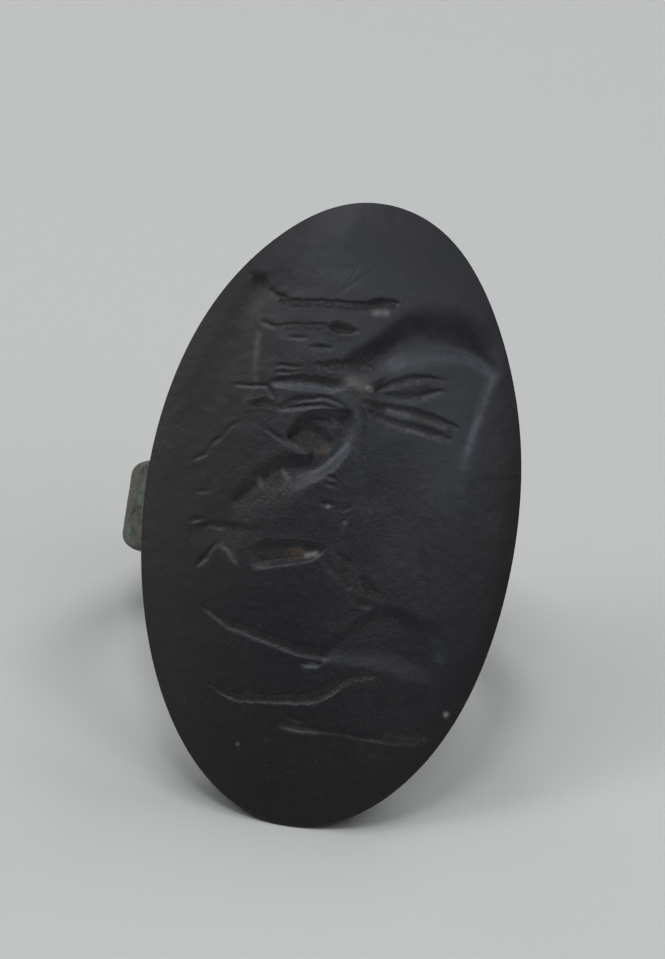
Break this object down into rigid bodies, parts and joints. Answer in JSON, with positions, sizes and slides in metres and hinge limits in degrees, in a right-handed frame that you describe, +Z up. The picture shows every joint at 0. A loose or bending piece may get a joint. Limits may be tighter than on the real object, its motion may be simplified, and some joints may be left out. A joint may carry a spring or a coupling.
{
  "type": "bezel ring",
  "caption": "finger ring with a long oval domed bezel, cut in sunken relief with a cow and her calf, on a plain round hoop, leaning back as it rests on a table",
  "frame": {"origin": "middle of the ring's overall width and depth, on the table that it stands on", "axes": "+Z up, -Y the side that the engraved face is turned to as the ring leans back, X across the bezel's short way"},
  "size_m": [0.0172, 0.0242, 0.0229],
  "materials": {
    "face_bronze": "smooth black patina on bronze, satin",
    "backing_bronze": "dull dark patina on bronze",
    "hoop_bronze": "corroded bronze, olive brown with green patches, matt",
    "solder": "dull grey green hard solder, matt"
  },
  "bodies": {
    "root": {"engraved_face": "face_bronze", "face_solder_layer": "solder", "bezel_back": "backing_bronze", "hoop_band": "hoop_bronze", "hoop_joint_solder": "solder", "left_shoulder_solder": "solder", "right_shoulder_solder": "solder"}
  },
  "joints": []
}
